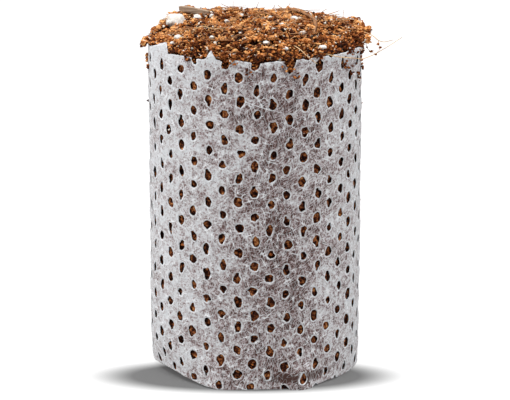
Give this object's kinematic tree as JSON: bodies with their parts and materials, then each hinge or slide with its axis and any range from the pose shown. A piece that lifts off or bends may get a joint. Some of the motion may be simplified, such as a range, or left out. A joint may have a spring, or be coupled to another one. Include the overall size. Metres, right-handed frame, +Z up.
{
  "type": "filled paper propagation pot",
  "caption": "Upright cylindrical plant pot: an open-ended perforated paper sleeve filled with pressed coir growing medium, heaped with loose crumbs and perlite above its cut rim.",
  "frame": {"origin": "centre of the base, on the surface the pot stands on", "axes": "+Z up along the sleeve's axis, the pictured front faces -Y, +X to its right"},
  "size_m": [0.0728, 0.0613, 0.1011],
  "materials": {
    "nonwoven_paper": "thin fibrous nonwoven, damp, matt",
    "pressed_medium": "damp coir and peat, matt",
    "loose_crumbs": "loose coir and peat crumbs, matt",
    "clinging_crumbs": "damp crumbs, matt",
    "perlite": "porous expanded glass, matt",
    "husk_wood": "split woody husk, matt",
    "husk_strip": "dry fibrous husk, matt",
    "coir_fibre": "single dry fibres, slightly glossy"
  },
  "bodies": {
    "root": {"paper_sleeve": "nonwoven_paper", "growing_medium": "pressed_medium", "crumb_heap": "loose_crumbs", "clinging_crumbs": "clinging_crumbs", "perlite_granules": "perlite", "husk_chip": "husk_wood", "husk_strip": "husk_strip", "coir_fibres": "coir_fibre"}
  },
  "joints": []
}
